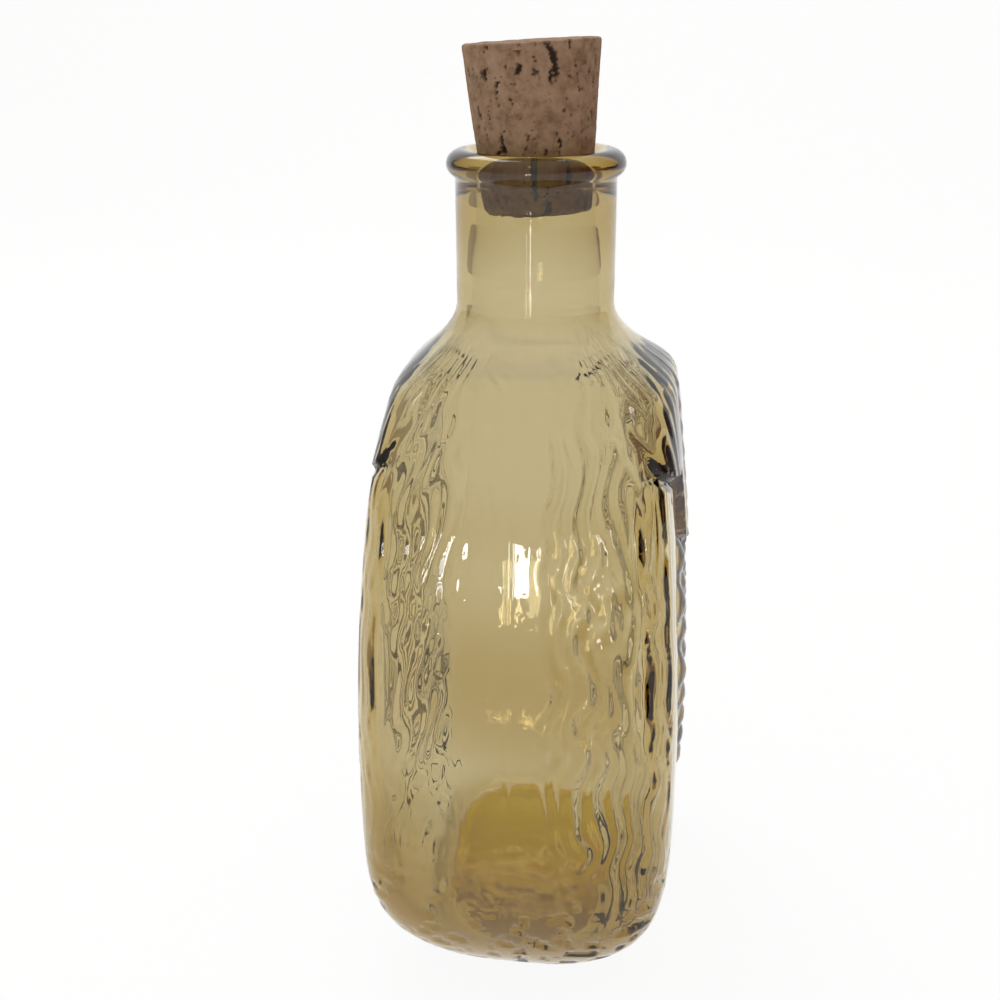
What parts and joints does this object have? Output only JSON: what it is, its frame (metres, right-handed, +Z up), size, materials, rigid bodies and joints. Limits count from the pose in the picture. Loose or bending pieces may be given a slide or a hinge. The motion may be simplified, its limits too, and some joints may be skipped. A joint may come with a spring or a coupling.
{
  "type": "glass decanter with cork stopper",
  "caption": "Flattened oval pressed-glass decanter in honey amber, with a round neck, a beaded lip, vine relief and a tapered cork that pulls out.",
  "frame": {"origin": "centre of the base, on the plane that the standing ring rests on", "axes": "+Z up along the neck's axis, X along the broad faces, Y through them from one broad face to the other"},
  "size_m": [0.0896, 0.0638, 0.1811],
  "materials": {
    "amber_glass": "clear honey-amber pressed glass, fire-polished",
    "cork": "natural cork with dark pores, dry and matt"
  },
  "bodies": {
    "bottle": {"glass_bottle": "amber_glass"},
    "cork": {"cork_stopper": "cork"}
  },
  "joints": [
    {"name": "cork_pull", "type": "slide", "parent": "bottle", "child": "cork", "axis": [0, -0.0489, 0.9988], "range_m": [0, 0.04]}
  ]
}
